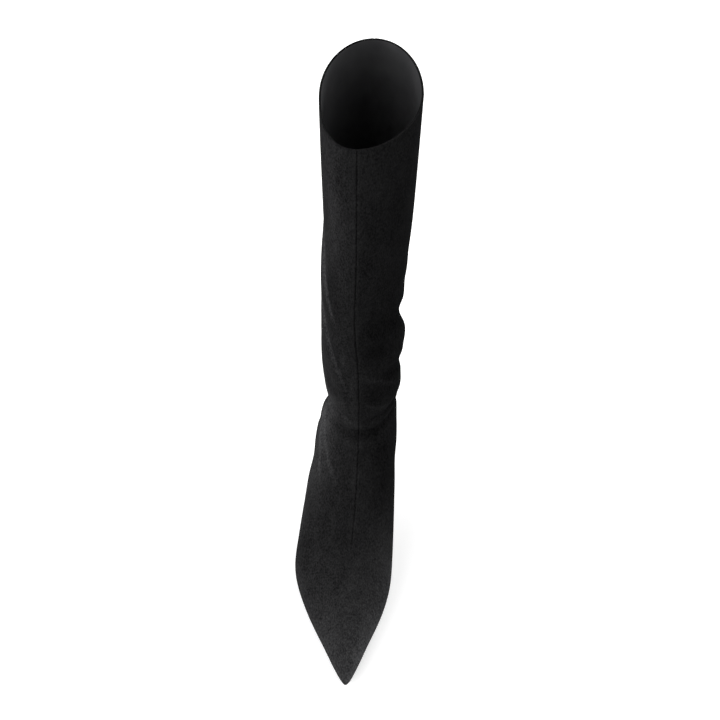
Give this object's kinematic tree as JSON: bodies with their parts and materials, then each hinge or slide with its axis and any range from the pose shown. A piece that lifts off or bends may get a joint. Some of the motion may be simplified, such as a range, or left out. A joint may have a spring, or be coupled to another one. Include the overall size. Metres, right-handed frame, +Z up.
{
  "type": "tall boot",
  "caption": "Tall pull-on boot with a sharply pointed toe, a slim covered block heel and a slouched shaft, open at the collar.",
  "frame": {"origin": "centre of the top lift's bottom face, on the floor", "axes": "+Z up, -Y from the heel to the toe, +X towards the inner side of the right foot"},
  "size_m": [0.1027, 0.2971, 0.4471],
  "materials": {
    "suede": "napped charcoal black suede",
    "sole": "smooth matte black",
    "sock": "smooth dark lining",
    "heel_cover": "napped charcoal black suede over a block",
    "lift": "matte black"
  },
  "bodies": {
    "root": {"upper": "suede", "outsole": "sole", "insole": "sock", "heel": "heel_cover", "top_lift": "lift"}
  },
  "joints": []
}
